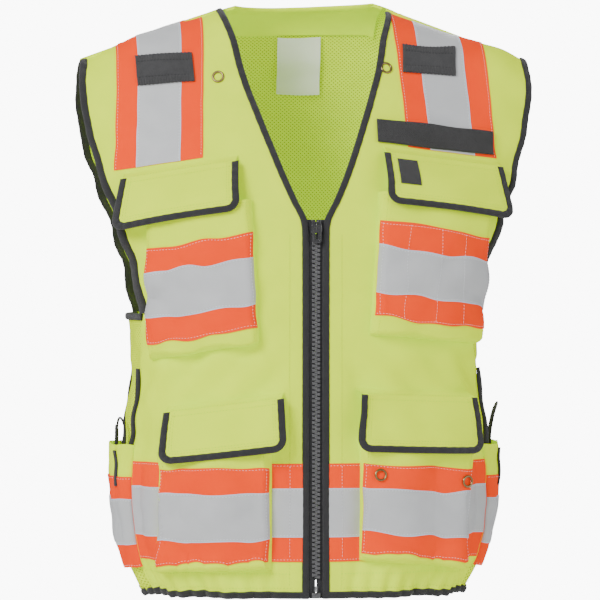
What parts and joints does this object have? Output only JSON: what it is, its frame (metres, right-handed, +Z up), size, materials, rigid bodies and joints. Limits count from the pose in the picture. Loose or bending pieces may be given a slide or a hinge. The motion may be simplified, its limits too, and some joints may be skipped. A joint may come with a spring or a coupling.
{
  "type": "high visibility vest",
  "caption": "Sleeveless zip-front high visibility work vest with reflective bands, flapped pouches, radio tabs and side adjuster cords.",
  "frame": {"origin": "middle of the neck opening at shoulder height, in the centre plane", "axes": "+Z up, -Y the way the wearer faces, +X to the wearer's left"},
  "size_m": [0.4806, 0.261, 0.6191],
  "materials": {
    "lime_cloth": "fluorescent woven polyester, matt",
    "lime_mesh": "fluorescent knitted mesh, matt",
    "reflective_trim": "fluorescent orange tape with a silver retroreflective band",
    "black_binding": "folded black polyester tape, matt",
    "webbing": "ribbed charcoal webbing",
    "loop_tape": "black loop tape, fuzzy",
    "label_satin": "white satin ribbon, blank",
    "zip_resin": "moulded black resin teeth",
    "zip_metal": "black enamelled die casting",
    "eyelet_metal": "nickel plated brass, worn",
    "elastic_cord": "braided black elastic cord"
  },
  "bodies": {
    "back": {"back_panel": "lime_mesh", "back_neck_facing": "lime_cloth", "care_label": "label_satin", "back_waist_trim": "reflective_trim", "back_hem_binding": "black_binding", "back_stripe_right": "reflective_trim", "back_armhole_binding_right": "black_binding", "side_gusset_right": "lime_cloth", "hip_band_right": "reflective_trim", "side_cord_right": "elastic_cord", "side_cord_right_short": "elastic_cord", "back_stripe_left": "reflective_trim", "back_armhole_binding_left": "black_binding", "side_gusset_left": "lime_cloth", "hip_band_left": "reflective_trim", "side_cord_left": "elastic_cord", "side_cord_left_short": "elastic_cord"},
    "front_right": {"front_panel_right": "lime_cloth", "front_edge_binding_right": "black_binding", "front_armhole_binding_right": "black_binding", "front_hem_binding_right": "black_binding", "front_waist_trim_right": "reflective_trim", "shoulder_trim_right": "reflective_trim", "shoulder_tab_right": "webbing", "neck_grommet_right": "eyelet_metal", "chest_pouch_right": "lime_cloth", "chest_pouch_right_trim": "reflective_trim", "waist_pouch_right": "lime_cloth", "waist_pouch_right_trim": "reflective_trim", "zip_tape_right": "black_binding", "zip_teeth_right": "zip_resin"},
    "front_left": {"front_panel_left": "lime_cloth", "front_edge_binding_left": "black_binding", "front_armhole_binding_left": "black_binding", "front_hem_binding_left": "black_binding", "front_waist_trim_left": "reflective_trim", "shoulder_trim_left": "reflective_trim", "shoulder_tab_left": "webbing", "neck_grommet_left": "eyelet_metal", "chest_pouch_left": "lime_cloth", "chest_pouch_left_trim": "reflective_trim", "waist_pouch_left": "lime_cloth", "waist_pouch_left_trim": "reflective_trim", "zip_tape_left": "black_binding", "zip_teeth_left": "zip_resin", "badge_strip": "loop_tape", "pouch_grommet_inner": "eyelet_metal", "pouch_grommet_outer": "eyelet_metal"},
    "zip_slider": {"zip_slider": "zip_metal"},
    "zip_pull": {"zip_pull_tab": "zip_metal"},
    "chest_flap_right": {"chest_flap_right": "lime_cloth", "chest_flap_right_binding": "black_binding"},
    "chest_flap_left": {"chest_flap_left": "lime_cloth", "chest_flap_left_binding": "black_binding", "flap_patch": "loop_tape"},
    "waist_flap_right": {"waist_flap_right": "lime_cloth", "waist_flap_right_binding": "black_binding"},
    "waist_flap_left": {"waist_flap_left": "lime_cloth", "waist_flap_left_binding": "black_binding"}
  },
  "joints": [
    {"name": "front_right_swing", "type": "hinge", "parent": "back", "child": "front_right", "pos_m": [-0.245, -0.02, 0], "axis": [0, 0, -1], "range_deg": [0, 40]},
    {"name": "front_left_swing", "type": "hinge", "parent": "back", "child": "front_left", "pos_m": [0.245, -0.02, 0], "axis": [0, 0, 1], "range_deg": [0, 40]},
    {"name": "slider_travel", "type": "slide", "parent": "front_right", "child": "zip_slider", "axis": [0, 0, -1], "range_m": [0, 0.371]},
    {"name": "pull_tab_lift", "type": "hinge", "parent": "zip_slider", "child": "zip_pull", "pos_m": [0, -0.1249, -0.2059], "axis": [-1, 0, 0], "range_deg": [0, 150]},
    {"name": "chest_flap_right_lift", "type": "hinge", "parent": "front_right", "child": "chest_flap_right", "pos_m": [-0.13913, -0.09168, -0.1495], "axis": [-0.9417, 0.3016, -0.1491], "range_deg": [0, 140]},
    {"name": "chest_flap_left_lift", "type": "hinge", "parent": "front_left", "child": "chest_flap_left", "pos_m": [0.13755, -0.08836, -0.1385], "axis": [-0.9487, -0.2969, 0.1086], "range_deg": [0, 140]},
    {"name": "waist_flap_right_lift", "type": "hinge", "parent": "front_right", "child": "waist_flap_right", "pos_m": [-0.09501, -0.11229, -0.393], "axis": [-0.9503, 0.2853, -0.1246], "range_deg": [0, 140]},
    {"name": "waist_flap_left_lift", "type": "hinge", "parent": "front_left", "child": "waist_flap_left", "pos_m": [0.10965, -0.10748, -0.384], "axis": [-0.9271, -0.3723, 0.0435], "range_deg": [0, 140]}
  ]
}
